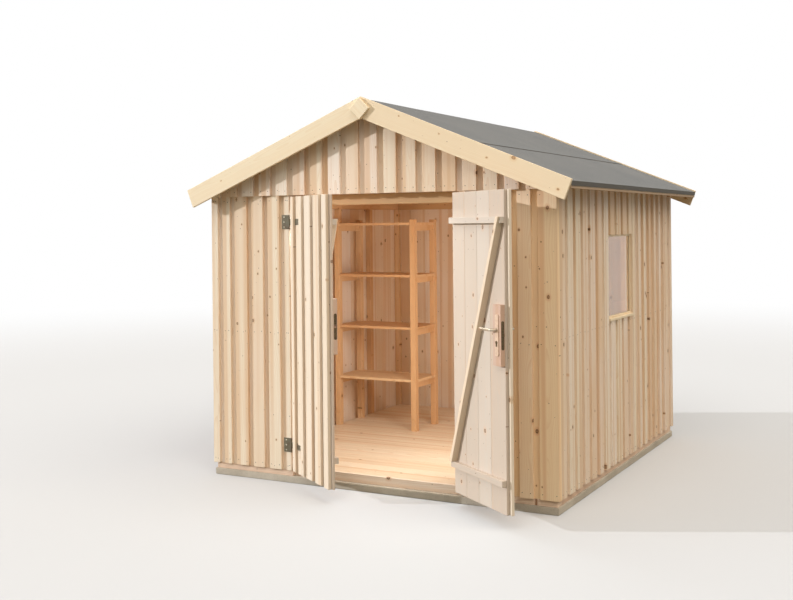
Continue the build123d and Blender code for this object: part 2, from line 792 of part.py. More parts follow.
write("rack_ends", rack_end(rack_x[0]), rack_end(rack_x[1] - rack_post))
notch = rack_post + joint_gap
shelves = []
for level in shelf_levels:
    z = (level, level + shelf_thickness)
    shelf = box(rack_x, (rack_y[0] + notch, rack_y[1] - notch), z)
    shelf += box((rack_x[0] + notch, rack_x[1] - notch), rack_y, z)
    shelves.append(shelf)
write("rack_shelves", *shelves)

# Joint positions in metres, for the record
hinge_points = {"left hinge": left_hinge_x, "right hinge": right_hinge_x}
for name, x in hinge_points.items():
    print(name, round(x / 1000, 5), round(hinge_y / 1000, 5))
spindle_point = on_right(Pos(spindle_x, 0, spindle_height) * Sphere(1)).center()
print("spindle", [round(value / 1000, 5) for value in spindle_point])
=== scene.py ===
import json
import math
import random

import bmesh
import bpy
from mathutils import Matrix, Vector, noise


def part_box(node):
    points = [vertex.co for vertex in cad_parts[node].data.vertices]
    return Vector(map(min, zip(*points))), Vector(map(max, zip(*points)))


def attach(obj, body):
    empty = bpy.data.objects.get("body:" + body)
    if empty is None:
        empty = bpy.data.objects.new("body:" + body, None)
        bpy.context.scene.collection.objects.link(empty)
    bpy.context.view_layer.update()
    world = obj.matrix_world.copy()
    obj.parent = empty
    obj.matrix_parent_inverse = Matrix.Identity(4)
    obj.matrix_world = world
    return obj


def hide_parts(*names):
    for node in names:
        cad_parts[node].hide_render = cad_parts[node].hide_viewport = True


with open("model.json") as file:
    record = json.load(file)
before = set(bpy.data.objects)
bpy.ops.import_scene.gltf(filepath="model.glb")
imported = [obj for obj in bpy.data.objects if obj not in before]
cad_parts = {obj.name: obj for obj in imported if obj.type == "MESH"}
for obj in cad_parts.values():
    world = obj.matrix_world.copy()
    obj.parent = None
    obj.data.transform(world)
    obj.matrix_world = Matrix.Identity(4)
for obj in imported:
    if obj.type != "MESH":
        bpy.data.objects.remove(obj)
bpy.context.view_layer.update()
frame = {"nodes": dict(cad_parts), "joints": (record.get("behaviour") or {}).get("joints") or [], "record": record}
cad_nodes = frame["nodes"]
joints = {joint["name"]: joint for joint in frame["joints"]}
SHED, LEFT, RIGHT, HANDLE = "shed", "left_leaf", "right_leaf", "handle"

WORLD = Matrix.Identity(4)
UP = Vector((0, 0, 1))
EAST = Vector((1, 0, 0))
NORTH = Vector((0, 1, 0))
QUARTER = math.radians(90)
FULL_TURN = 2 * math.pi

# Driving sizes of what is added to the frame, in metres
BOARD_CHAMFER = 0.0015
TIMBER_CHAMFER = 0.002
BOARD_JOINT = 0.0012
DECK_BOARD = 0.096
FLOOR_BOARD = 0.118
STRAP_CLEARANCE = 0.0005

# Where nails and screws stand
NAIL_FROM_EDGE = 0.017
NAIL_FROM_END = 0.032
NAIL_WANDER = 0.004
HINGE_SCREW_INSET = 0.018
HINGE_SCREW_SHARES = (0.15, 0.5, 0.85)
STRAP_SCREW_INSETS = (0.014, 0.036)

# Their heads: the radius, the number of sides, and the share of the radius at each height
NAIL_RISE = 0.0008
NAIL = (0.0028, 8, [(1.0, -NAIL_RISE), (1.0, NAIL_RISE * 0.3), (0.62, NAIL_RISE)])
SCREW_DOME = [(1.0, -0.0004), (0.96, 0.0006), (0.78, 0.0014), (0.5, 0.0018), (0.34, 0.0018), (0.3, 0.0006)]
HINGE_SCREW = (0.0045, 14, SCREW_DOME)
STRAP_SCREW = (0.0038, 14, SCREW_DOME)

# Corners nearer than these count as one, and no step cut into a board is narrower than a sliver
MATCH = 0.0004
WELD = 0.00002
SLIVER = 0.004

# Angles between faces: those that count as flat, that are eased, and that look sharp
FLAT_ANGLE = math.radians(0.5)
EASED_ANGLE = math.radians(25)
SHARP_ANGLE = math.radians(32)


def add_object(name, data):
    """A new object in the scene."""
    made = bpy.data.objects.new(name, data)
    bpy.context.scene.collection.objects.link(made)
    return made


# Camera at the photograph's place: a level shift-lens view from the right of the doorway
CAMERA_PLACE = (3.481, -7.4605, 1.740)
CAMERA_YAW = 28.25
CAMERA_ROLL = -0.59
CAMERA_LENS = 49.2
CAMERA_SHIFT = -0.0949


def make_camera():
    """A camera that looks along the yaw angle to the left of north, level, with its lens shifted down."""
    data = bpy.data.cameras.new("camera")
    data.lens = CAMERA_LENS
    data.shift_y = CAMERA_SHIFT
    camera = add_object("camera", data)
    turn = Matrix.Rotation(math.radians(CAMERA_YAW), 4, "Z") @ Matrix.Rotation(QUARTER, 4, "X")
    roll = Matrix.Rotation(math.radians(CAMERA_ROLL), 4, "Z")
    camera.matrix_world = Matrix.Translation(CAMERA_PLACE) @ turn @ roll
    bpy.context.scene.camera = camera


# Materials
def srgb(red, green, blue):
    """A colour as it is read on a screen, as the linear values that a shader takes."""
    def linear(value):
        value /= 255
        return value / 12.92 if value <= 0.04045 else ((value + 0.055) / 1.055) ** 2.4
    return (linear(red), linear(green), linear(blue), 1.0)


class Nodes:
    """Adds nodes to one shader tree and links them by the values they are given."""

    def __init__(self, tree):
        self.tree = tree

    def node(self, kind, values=(), **settings):
        """One node. `values` gives its inputs by name or number: constants or other nodes' outputs."""
        made = self.tree.nodes.new(kind)
        for name, value in settings.items():
            setattr(made, name, value)
        for key, value in dict(values).items():
            if isinstance(value, bpy.types.NodeSocket):
                self.tree.links.new(value, made.inputs[key])
            else:
                made.inputs[key].default_value = value
        return made

    def attribute(self, name):
        return self.node("ShaderNodeAttribute", attribute_name=name, attribute_type="GEOMETRY")

    def place(self):
        """The shaded point in metres, in its object's own frame."""
        return self.node("ShaderNodeTexCoord").outputs["Object"]

    def math(self, operation, a, b=0.0):
        return self.node("ShaderNodeMath", {0: a, 1: b}, operation=operation).outputs[0]

    def times(self, a, b):
        return self.math("MULTIPLY", a, b)

    def vector(self, operation, a, b):
        return self.node("ShaderNodeVectorMath", {0: a, 1: b}, operation=operation).outputs[0]

    def stretch(self, vector, factors):
        return self.vector("MULTIPLY", vector, factors)

    def noise(self, vector, scale=1.0, detail=2.0, rough=0.5, output="Fac"):
        values = {"Vector": vector, "Scale": scale, "Detail": detail, "Roughness": rough}
        return self.node("ShaderNodeTexNoise", values).outputs[output]

    def range(self, value, low, high, to_low=0.0, to_high=1.0, smooth=True):
        """Carries a value from one range to another, held at the ends."""
        values = {"Value": value, "From Min": low, "From Max": high, "To Min": to_low, "To Max": to_high}
        kind = "SMOOTHSTEP" if smooth else "LINEAR"
        return self.node("ShaderNodeMapRange", values, interpolation_type=kind).outputs[0]

    def mix(self, factor, a, b):
        return self.node("ShaderNodeMix", {"Factor": factor, 6: a, 7: b}, data_type="RGBA").outputs[2]

    def ramp(self, factor, stops):
        """Colours at places from 0 to 1, blended between."""
        made = self.node("ShaderNodeValToRGB", {0: factor})
        elements = made.color_ramp.elements
        while len(elements) < len(stops):
            elements.new(1.0)
        for element, (place, colour) in zip(elements, stops):
            element.position = place
            element.color = colour
        return made.outputs[0]

    def bump(self, height, strength, distance):
        values = {"Height": height, "Strength": strength, "Distance": distance}
        return self.node("ShaderNodeBump", values).outputs[0]


class Shader(Nodes):
    """The nodes of one new material."""

    def __init__(self, name):
        self.material = bpy.data.materials.new(name)
        self.material.use_nodes = True
        super().__init__(self.material.node_tree)
        self.tree.nodes.clear()
        self.output = self.tree.nodes.new("ShaderNodeOutputMaterial")

    def finish(self, **values):
        """The surface shader with its inputs by name, underscores for spaces."""
        named = {key.replace("_", " "): value for key, value in values.items()}
        surface = self.node("ShaderNodeBsdfPrincipled", named)
        self.tree.links.new(surface.outputs[0], self.output.inputs[0])
        return self.material


# Spruce, in each board's own metres along, across and through it
KNOT_CELLS = 8.0
KNOT_RADII = (0.0038, 0.0115)
PIN_CELLS = 15.0
PIN_RADII = (0.0018, 0.0034)
PIN_SHARE = 0.7
KNOT_STRETCH = (0.75, 1.0, 0.0)
KNOT_RAGGEDNESS = 0.018
RING_SCALE = 42.0
RING_STRETCH = (0.06, 1.0, 1.0)
RING_DRIFT = (0.0, 0.09, 0.09)
RING_BEND_AT_KNOT = 7.0
DRIFT_STRETCH = (0.5, 2.0, 2.0)
BAND_STRETCH = (0.16, 15.0, 15.0)
STREAK_STRETCH = (0.5, 70.0, 70.0)
CLOUD_STRETCH = (1.1, 3.0, 3.0)
FIBRE_STRETCH = (14.0, 900.0, 900.0)
KNOT = (112, 80, 56)
PALE_KNOT = (158, 114, 76)


def knot_field(s, grain, uneven, cells, share, radii):
    """How far each point is from its cell's knot, in that knot's radii, and which cells have a knot."""
    face = s.stretch(grain, KNOT_STRETCH)
    field = s.node("ShaderNodeTexVoronoi", {"Vector": face, "Scale": cells}, voronoi_dimensions="2D")
    pick = s.node("ShaderNodeSeparateColor", {0: field.outputs["Color"]})
    present = s.math("LESS_THAN", pick.outputs[0], share)
    small, large = radii
    size = s.math("POWER", pick.outputs[1], 2.2)
    size = s.range(size, 0.0, 1.0, small * cells, large * cells, smooth=False)
    near = s.math("DIVIDE", s.math("ADD", field.outputs["Distance"], uneven), size)
    return near, present


def wood(name, tints, heart, knots, heart_share, line_share, rough=0.62, knot=KNOT):
    """Spruce: growth rings, bands of heartwood, knots, and a tint of its own for each board."""
    s = Shader(name)
    heart, knot = srgb(*heart), srgb(*knot)
    grain = s.attribute("grain").outputs["Vector"]
    tone = s.attribute("tone").outputs["Fac"]

    def around(field, inside, outside):
        """1 at a knot, down to 0 between two distances in its radii."""
        near, present = field
        return s.times(s.range(near, inside, outside, 1.0, 0.0), present)

    # Knots lie on the board's face, in some cells only: a few large ones and many pin knots
    ragged = s.noise(grain, 90.0)
    uneven = s.range(ragged, 0.0, 1.0, -KNOT_RAGGEDNESS, KNOT_RAGGEDNESS, smooth=False)
    field = knot_field(s, grain, uneven, KNOT_CELLS, knots, KNOT_RADII)
    pin_field = knot_field(s, grain, uneven, PIN_CELLS, knots * PIN_SHARE, PIN_RADII)
    core = around(field, 0.75, 1.05)
    middle = around(field, 0.3, 0.8)
    halo = around(field, 0.9, 2.8)
    pin = around(pin_field, 0.7, 1.1)
    # Growth rings round a pith beside the board, drawn out along it and bent by a slow drift and by knots
    drift = s.noise(s.stretch(grain, DRIFT_STRETCH), 2.4, output="Color")
    drift = s.stretch(s.vector("SUBTRACT", drift, (0.5, 0.5, 0.5)), RING_DRIFT)
    bent = s.vector("ADD", s.stretch(grain, RING_STRETCH), drift)
    distortion = s.times(halo, RING_BEND_AT_KNOT)
    waves = {"Vector": bent, "Scale": RING_SCALE, "Distortion": distortion, "Detail": 1.0}
    rings = s.node("ShaderNodeTexWave", waves, wave_type="RINGS", rings_direction="X", wave_profile="SAW")
    line = s.range(rings.outputs["Fac"], 0.45, 1.0)
    # Bands of heartwood and finer streaks along the board
    band = s.range(s.noise(s.stretch(grain, BAND_STRETCH), detail=1.0), 0.5, 0.66)
    streak = s.range(s.noise(s.stretch(grain, STREAK_STRETCH)), 0.42, 0.8)
    warm = s.times(s.math("MAXIMUM", band, s.times(streak, 0.45)), heart_share)
    warm = s.math("MAXIMUM", warm, s.times(line, line_share))
    warm = s.math("MAXIMUM", warm, s.times(halo, 0.7))
    # The board's own tint, clouded, under heartwood and knots
    cloud = s.noise(s.stretch(grain, CLOUD_STRETCH))
    own = s.math("ADD", tone, s.range(cloud, 0.3, 0.7, -0.1, 0.1))
    base = s.ramp(own, [(i / (len(tints) - 1), srgb(*tint)) for i, tint in enumerate(tints)])
    colour = s.mix(warm, base, heart)
    colour = s.mix(core, colour, knot)
    colour = s.mix(s.times(middle, 0.45), colour, heart)
    colour = s.mix(s.times(pin, 0.85), colour, knot)
    # Raised rings and fibres, and knots a little lower
    fibre = s.noise(s.stretch(grain, FIBRE_STRETCH))
    height = s.math("ADD", s.times(line, 0.5), s.times(fibre, 0.7))
    height = s.math("SUBTRACT", height, s.times(core, 0.6))
    roughness = s.range(fibre, 0.2, 0.8, rough - 0.07, rough + 0.1)
    return s.finish(Base_Color=colour, Roughness=roughness, Normal=s.bump(height, 0.35, 0.0008))


def felt_material(name, tints):
    """Mineral-faced roofing felt: granules over darker and paler patches, and a few bright ones."""
    s = Shader(name)
    dark, pale, granules, bright = [srgb(*tint) for tint in tints]
    place = s.place()
    granule = s.node("ShaderNodeTexVoronoi", {"Vector": place, "Scale": 420.0})
    speck = s.node("ShaderNodeSeparateColor", {0: granule.outputs["Color"]}).outputs[0]
    patch = s.noise(place, 2.2, 4.0, 0.6)
    base = s.ramp(patch, [(0.3, dark), (0.7, pale)])
    colour = s.mix(s.range(speck, 0.0, 1.0, 0.0, 0.4, smooth=False), base, granules)
    glint = s.math("GREATER_THAN", speck, 0.93)
    colour = s.mix(s.times(glint, 0.5), colour, bright)
    height = s.times(granule.outputs["Distance"], -1.0)
    roughness = s.range(patch, 0.3, 0.7, 0.82, 0.95)
    return s.finish(Base_Color=colour, Roughness=roughness, Normal=s.bump(height, 0.5, 0.001))


def concrete_material():
    """Rough concrete with sand, pores and paler and darker patches."""
    s = Shader("concrete")
    place = s.place()
    patch = s.noise(place, 3.0, 5.0, 0.65)
    stains = [(0.3, srgb(176, 166, 152)), (0.55, srgb(198, 188, 174)), (0.75, srgb(212, 204, 192))]
    base = s.ramp(patch, stains)
    sand = s.noise(place, 240.0)
    colour = s.mix(s.range(sand, 0.35, 0.75, 0.0, 0.35), base, srgb(150, 142, 130))
    pores = s.node("ShaderNodeTexVoronoi", {"Vector": place, "Scale": 95.0})
    pit = s.range(pores.outputs["Distance"], 0.08, 0.22, 1.0, 0.0)
    colour = s.mix(s.times(pit, 0.6), colour, srgb(94, 89, 80))
    height = s.math("SUBTRACT", sand, s.times(pit, 1.2))
    return s.finish(Base_Color=colour, Roughness=0.9, Normal=s.bump(height, 0.6, 0.002))


def metal(name, plating, worn, rough, metallic, patch_scale=60.0):
    """Plated steel with dull patches and fine scratches."""
    s = Shader(name)
    place = s.place()
    patch = s.noise(place, patch_scale, 4.0, 0.6)
    scratch = s.noise(s.stretch(place, (300.0, 300.0, 2600.0)), detail=1.0)
    tint = s.mix(s.range(patch, 0.35, 0.7), srgb(*plating), srgb(*worn))
    roughness = s.range(patch, 0.3, 0.7, rough - 0.08, rough + 0.12)
    bump = s.bump(scratch, 0.12, 0.0003)
    return s.finish(Base_Color=tint, Metallic=metallic, Roughness=roughness, Normal=bump)


def glass_material():
    """Float glass with a faint unevenness, its tint darkened as painted shade so that the pane looks dim."""
    s = Shader("pane")
    place = s.place()
    wave = s.noise(place, 5.0, 1.0)
    dust = s.range(s.noise(place, 40.0, 3.0), 0.3, 0.8, 0.0, 0.02)
    # The grey-brown tint is painted shade that dims the pane
    return s.finish(Base_Color=srgb(198, 188, 177), Roughness=dust, Transmission_Weight=1.0, IOR=1.4,
                    Specular_IOR_Level=0.3, Normal=s.bump(wave, 0.05, 0.004))


# Tints as they are read on a screen; a board's own tone from 0 to 1 picks its place among them
CREAM = [(244, 231, 219), (241, 226, 205), (236, 214, 190), (242, 226, 213), (232, 203, 173)]
# Painted light: a warmer copy of the cladding for the front boards right of the doorway, standing in for warm
# light bounced off the open leaf
BOUNCE_LIT_TINTS = [(250, 225, 191), (247, 217, 176), (250, 226, 197)]
# Painted light: the threshold near white, as if lit by the sun
SILL = [(250, 233, 218), (247, 226, 207)]
PALE = [(246, 232, 206), (243, 226, 197), (240, 219, 188)]
# Painted light: the inner timbers more orange than the cladding, standing in for warm light bounced round the room
INSIDE = [(232, 200, 160), (226, 188, 146), (218, 176, 132)]
FLOOR = [(240, 225, 204), (236, 218, 194), (230, 208, 182)]
# Painted shade and light: the head and gable frame timbers darker and more orange, for the shade under the gable
# and warm light from inside
HEAD = [(211, 174, 130), (203, 164, 119), (196, 155, 110)]
BLOCK = [(200, 174, 157), (192, 165, 147), (203, 176, 160)]
# Painted shade: the leaves' wood darker and greyer than the wall's cladding, taking back the strong sun that falls
# on the leaves
LEAF_INSIDE = [(205, 194, 183), (200, 187, 174), (195, 180, 166)]
LEAF_FACE = [(230, 217, 201), (227, 210, 189), (223, 202, 176)]
# Painted shade: the eave laths darker than the other timbers, for the shade under the eave
LATH = [(182, 156, 128), (172, 146, 118)]
BASE = [(238, 212, 190), (231, 203, 180), (241, 217, 196)]
SLATE = [(108, 110, 112), (127, 128, 129), (93, 96, 101), (162, 163, 162)]
# Painted shade: dark felt for the turned-down edge at the eaves, which faces down into shade
SHADED_EDGE_TINTS = [(74, 71, 66), (92, 88, 80), (62, 60, 58), (112, 108, 100)]

# Each timber's tints and heartwood, its shares of knots, heartwood and ring lines, and its roughness
TIMBERS = {
    "cladding": (CREAM, (217, 177, 135), 0.36, 0.62, 0.3),
    "bounce_lit_cladding": (BOUNCE_LIT_TINTS, (224, 176, 132), 0.3, 0.6, 0.3),
    "sill_timber": (SILL, (222, 184, 150), 0.3, 0.5, 0.4, 0.7),
    "frame_timber": (INSIDE, (200, 146, 98), 0.3, 0.5, 0.35),
    "lath_timber": (LATH, (150, 118, 90), 0.2, 0.5, 0.35, 0.7),
    "head_timber": (HEAD, (200, 150, 106), 0.3, 0.5, 0.35),
    "trim_board": (PALE, (228, 194, 148), 0.3, 0.4, 0.25, 0.55, PALE_KNOT),
    "base_timber": (BASE, (190, 146, 116), 0.3, 0.5, 0.4, 0.7),
    "block_timber": (BLOCK, (190, 146, 116), 0.1, 0.5, 0.4, 0.7),
    "floor_board": (FLOOR, (214, 168, 122), 0.2, 0.5, 0.35, 0.5),
    "rack_wood": (INSIDE, (206, 152, 102), 0.3, 0.5, 0.35),
    "leaf_face": (LEAF_FACE, (211, 175, 136), 0.3, 0.5, 0.3),
    "leaf_inside": (LEAF_INSIDE, (212, 182, 156), 0.4, 0.4, 0.25),
}

# Each metal's plating and dull patches, its roughness, how metallic it is, and the scale of the patches
METALS = {
    "galvanised_steel": ((104, 101, 82), (92, 76, 58), 0.5, 0.25, 28.0),
    "screw_steel": ((226, 220, 204), (196, 188, 168), 0.35, 0.6),
    "lock_metal": ((220, 194, 172), (200, 172, 148), 0.4, 0.2),
    "lever_metal": ((190, 178, 160), (164, 152, 134), 0.4, 1.0),
    "dark_steel": ((96, 78, 50), (72, 58, 40), 0.45, 0.4),
}
MATERIALS = {
    **{name: wood(name, *look) for name, look in TIMBERS.items()},
    "roofing_felt": felt_material("roofing_felt", SLATE),
    "shaded_felt_edge": felt_material("shaded_felt_edge", SHADED_EDGE_TINTS),
    "concrete": concrete_material(),
    "pane": glass_material(),
    **{name: metal(name, *look) for name, look in METALS.items()},
}
SLOT_OF = {part["node"]: part["material_slot"] for part in frame["record"]["subparts"]}
for node_name, node in cad_nodes.items():
    node.data.materials.clear()
    node.data.materials.append(MATERIALS[SLOT_OF[node_name]])


# Reading the frame
def points(name, place=WORLD):
    """A CAD node's corners, seen in the frame that `place` sets into the world."""
    inverse = place.inverted()
    return [inverse @ vertex.co for vertex in cad_nodes[name].data.vertices]


def extent(values):
    """The lowest and the highest value."""
    values = list(values)
    return min(values), max(values)


def levels(values):
    """The different values in a list, lowest first."""
    found = []
    for value in sorted(values):
        if not found or value - found[-1] > MATCH:
            found.append(value)
    return found


def pairs(values):
    """The values two by two: where something starts and where it ends."""
    return list(zip(values[::2], values[1::2]))


def spans(corners, depth, height):
    """Starts and ends of the cover boards: the corners at one depth and one height, in pairs."""
    return pairs(levels(p.x for p in corners if abs(p.z - depth) < MATCH and abs(p.y - height) < MATCH))


def standing(across, outward):
    """The frame of a wall: X along it, Y up and Z outward."""
    return Matrix((across, UP, outward)).transposed().to_4x4()


FRONT = standing(EAST, -NORTH)
BACK = standing(-EAST, NORTH)
LEFT_SIDE = standing(-NORTH, -EAST)
RIGHT_SIDE = standing(NORTH, EAST)


def leaf_place(joint, mirrored):
    """Sets a closed leaf, with its hinge axis at the origin and the leaf along +X, at its place at rest."""
    pivot = Vector(joint["pos_m"])
    pivot.z = 0
    turn = Matrix.Rotation(math.radians(-joint["range_deg"][0]), 4, Vector(joint["axis"]))
    flip = Matrix.Diagonal((-1 if mirrored else 1, 1, 1, 1))
    return Matrix.Translation(pivot) @ turn @ flip


LEFT_LEAF = leaf_place(joints["left_door"], False)
RIGHT_LEAF = leaf_place(joints["right_door"], True)

# The frames of the leaves' faces: X from the hinge, Y up, Z outward
LEFT_FACE = LEFT_LEAF @ FRONT
RIGHT_FACE = RIGHT_LEAF @ FRONT


# Building pieces
def rectangle(low, high):
    """A rectangle's corners in X and Y, in order from its lowest to its highest one and back."""
    return [(low[0], low[1]), (high[0], low[1]), (high[0], high[1]), (low[0], high[1])]


def centre_of(bm):
    """The middle of a bmesh's corners."""
    return sum((v.co for v in bm.verts), Vector()) / len(bm.verts)


class Piece:
    """Collects boards and fittings into one mesh, with a grain coordinate and a tone for each of them."""

    def __init__(self, name, seed):
        self.name = name
        self.random = random.Random(seed)
        self.corners = []
        self.faces = []
        self.grain = []
        self.tones = []
        self.paints = []
        self.paint = 0

    def recess_shade_tone(self):
        """A tone from the warmer, darker half of the tints: painted shade for the boards that lie back between the
        covers.
        """
        return self.random.uniform(0.5, 1.0)

    def paler(self):
        """A tone from the paler tints."""
        return self.random.uniform(0.0, 0.35)

    def add(self, bm, place, along, through, tone=None):
        """Adds a bmesh set down by `place`, its grain along and its thickness through, in its own frame."""
        bmesh.ops.recalc_face_normals(bm, faces=bm.faces)
        if place.determinant() < 0:
            bmesh.ops.reverse_faces(bm, faces=bm.faces)
        along = Vector(along).normalized()
        through = Vector(through)
        through = (through - along * through.dot(along)).normalized()
        across = through.cross(along)
        draw = self.random.uniform
        shift = Vector((draw(-40, 40), draw(-0.09, 0.09) + draw(-30, 30), draw(0.02, 0.07)))
        pith = Vector((shift.x, draw(-0.08, 0.08), shift.z))
        tone = draw(0, 1) if tone is None else tone
        first = len(self.corners)
        middle = centre_of(bm)
        bm.verts.index_update()
        for v in bm.verts:
            own = v.co - middle
            self.corners.append(place @ v.co)
            self.grain.append(Vector((own.dot(along), own.dot(across), own.dot(through))) + pith)
            self.tones.append(tone)
        for face in bm.faces:
            self.faces.append([first + v.index for v in face.verts])
            self.paints.append(self.paint)
        bm.free()

    def plank(self, outline, depth, place, along, chamfer=BOARD_CHAMFER, tone=None, through=UP):
        """A board: an outline in X and Y of `place`, from depth[0] to depth[1] along its Z, edges eased."""
        bm = bmesh.new()
        corners = [bm.verts.new((x, y, depth[0])) for x, y in outline]
        face = bm.faces.new(corners)
        raised = bmesh.ops.extrude_face_region(bm, geom=[face])
        top = [item for item in raised["geom"] if isinstance(item, bmesh.types.BMVert)]
        bmesh.ops.translate(bm, verts=top, vec=(0, 0, depth[1] - depth[0]))
        bmesh.ops.bevel(bm, geom=bm.edges[:], offset=chamfer, segments=1, affect="EDGES")
        self.add(bm, place, along, through, tone)

    def block(self, low, high, place=WORLD):
        """A board between two corners, with its grain along X and its thickness along Z."""
        self.plank(rectangle(low, high), (low[2], high[2]), place, EAST)

    def loft(self, rings, place, along=EAST, through=UP):
        """A closed skin over rings of as many points each, with flat ends."""
        bm = bmesh.new()
        rows = [[bm.verts.new(p) for p in ring] for ring in rings]
        for one, two in zip(rows, rows[1:]):
            for i in range(len(one)):
                j = (i + 1) % len(one)
                bm.faces.new((one[i], one[j], two[j], two[i]))
        bm.faces.new(rows[0])
        bm.faces.new(rows[-1])
        self.add(bm, place, along, through, tone=0.5)

    def round_head(self, centre, outward, radius, sides, dome):
        """The head of a nail or screw on a face: `dome` gives the radius's share at each height."""
        outward = outward.normalized()
        one = outward.orthogonal().normalized()
        two = outward.cross(one)
        turns = [FULL_TURN * i / sides for i in range(sides)]
        spokes = [one * math.cos(a) + two * math.sin(a) for a in turns]
        rings = []
        for share, height in dome:
            rings.append([centre + spoke * radius * share + outward * height for spoke in spokes])
        self.loft(rings, WORLD)

    def finish(self, material, body, replaces=(), slot=None, second=None):
        """The object: named, smooth between its sharp edges, on its body."""
        mesh = bpy.data.meshes.new(self.name)
        mesh.from_pydata(self.corners, [], self.faces)
        mesh.attributes.new("grain", "FLOAT_VECTOR", "POINT")
        mesh.attributes["grain"].data.foreach_set("vector", [c for g in self.grain for c in g])
        mesh.attributes.new("tone", "FLOAT", "POINT")
        mesh.attributes["tone"].data.foreach_set("value", self.tones)
        mesh.validate()
        mesh.polygons.foreach_set("use_smooth", [True] * len(mesh.polygons))
        mesh.set_sharp_from_angle(angle=SHARP_ANGLE)
        mesh.materials.append(MATERIALS[material])
        if second:
            mesh.materials.append(MATERIALS[second])
            mesh.polygons.foreach_set("material_index", self.paints)
        made = add_object(self.name, mesh)
        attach(made, body)
        if replaces:
            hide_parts(*replaces)


def clean_copy(name):
    """A CAD node's solids as separate bmeshes, with flat faces in one piece."""
    whole = bmesh.new()
    whole.from_mesh(cad_nodes[name].data)
    bmesh.ops.remove_doubles(whole, verts=whole.verts, dist=WELD)
    bmesh.ops.dissolve_limit(whole, angle_limit=FLAT_ANGLE, verts=whole.verts, edges=whole.edges)
    left = set(whole.verts)
    solids = []
    for start in list(whole.verts):
        if start not in left:
            continue
        group = {start}
        stack = [start]
        while stack:
            for edge in stack.pop().link_edges:
                for v in edge.verts:
                    if v not in group:
                        group.add(v)
                        stack.append(v)
        left -= group
        solid = bmesh.new()
        copies = {v: solid.verts.new(v.co) for v in sorted(group, key=lambda v: v.index)}
        for face in whole.faces:
            if face.verts[0] in group:
                solid.faces.new([copies[v] for v in face.verts])
        solid.normal_update()
        solids.append(solid)
    whole.free()
    solids.sort(key=lambda bm: tuple(round(c, 3) for c in centre_of(bm)))
    return solids


def dress(name, material, body=SHED, chamfer=TIMBER_CHAMFER, seed=1, segments=1):
    """Stands for a CAD node: the same solids with eased edges and the grain along their longest edge."""
    piece = Piece(name + "_dressed", seed)
    for solid in clean_copy(name):
        start, end = sorted(solid.edges, key=lambda e: e.calc_length())[-1].verts
        longest = end.co - start.co
        if longest.dot(Vector((1, 1.1, 1.2))) < 0:
            longest = -longest
        through = max(solid.faces, key=lambda f: f.calc_area()).normal.copy()
        edges = [e for e in solid.edges if len(e.link_faces) == 2 and e.calc_face_angle(0) > EASED_ANGLE]
        bmesh.ops.bevel(solid, geom=edges, offset=chamfer, segments=segments, affect="EDGES",
                        clamp_overlap=True)
        if abs(longest.normalized().dot(through)) > 0.9:
            through = longest.orthogonal()
        piece.add(solid, WORLD, longest, through)
    piece.finish(material, body, [name])


# Cladding of boards with cover boards over their joints
def behind(start, end, covers):
    """Starts and ends of the boards, which meet behind the middle of each cover, apart from the end ones."""
    middles = [(a + b) / 2 for a, b in covers if a - start > MATCH and end - b > MATCH]
    meets = [start] + middles + [end]
    return [(a + BOARD_JOINT / 2, b - BOARD_JOINT / 2) for a, b in zip(meets, meets[1:])]


def notched(low, high, opening):
    """Outlines of a board between two corners, less the opening (left, right, bottom, top) in its way."""
    (a0, z0), (a1, z1) = low, high
    if opening is None or a1 <= opening[0] + MATCH or a0 >= opening[1] - MATCH:
        return [rectangle(low, high)]
    left, right, bottom, top = opening
    if a0 >= left - MATCH and a1 <= right + MATCH:
        return [rectangle(low, (a1, bottom)), rectangle((a0, top), high)]
    if a0 < left:
        notch = [(a1, bottom), (left, bottom), (left, top), (a1, top)]
        return [[(a0, z0), (a1, z0), *notch, (a1, z1), (a0, z1)]]
    notch = [(a0, top), (right, top), (right, bottom), (a0, bottom)]
    return [rectangle(low, high) + notch]


nails = Piece("cladding_nails", 5)


def nail_row(place, covers, depth, heights, opening=None):
    """Two nails in each cover board at each height, outside the opening."""
    outward = place.to_3x3() @ UP
    for start, end in covers:
        inset = min(NAIL_FROM_EDGE, (end - start) / 3)
        for height in heights:
            for along in (start + inset, end - inset):
                if opening and opening[0] < along < opening[1] and opening[2] < height < opening[3]:
                    continue
                wander = nails.random.uniform(-NAIL_WANDER, NAIL_WANDER)
                nails.round_head(place @ Vector((along, height + wander, depth)), outward, *NAIL)


def clad_wall(name, place, nodes, seed, ranges=None, opening=None, bounce_lit_from=math.inf):
    """A wall of boards with cover boards over their joints; past a given point along it they take a warmer colour,
    painted warm light as if bounced off the open leaf.
    """
    corners = [p for node in nodes for p in points(node, place)]
    inner, root, outer = levels(p.z for p in corners)
    low, high = extent(p.y for p in corners)
    covers = spans(corners, outer, low)
    piece = Piece(name, seed)
    for start, end in ranges or [extent(p.x for p in corners)]:
        own = [c for c in covers if c[0] > start - MATCH and c[1] < end + MATCH]
        # Boards behind the covers take darker tones: painted shade in the recesses between the covers
        for a, b in behind(start, end, own):
            piece.paint = int(a > bounce_lit_from)
            for outline in notched((a, low), (b, high), opening):
                piece.plank(outline, (inner, root), place, NORTH, tone=piece.recess_shade_tone())
        for a, b in own:
            piece.paint = int(a > bounce_lit_from)
            for outline in notched((a, low), (b, high), opening):
                piece.plank(outline, (root, outer), place, NORTH)
    rows = [low + NAIL_FROM_END, (low + high) / 2, high - NAIL_FROM_END]
    nail_row(place, covers, outer, rows, opening)
    piece.finish("cladding", SHED, nodes, second="bounce_lit_cladding" if bounce_lit_from < math.inf else None)


# Walls
threshold_low, threshold_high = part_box("threshold")
wall_low, wall_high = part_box("front_wall")
front_ranges = [(wall_low.x, threshold_low.x), (threshold_high.x, wall_high.x)]
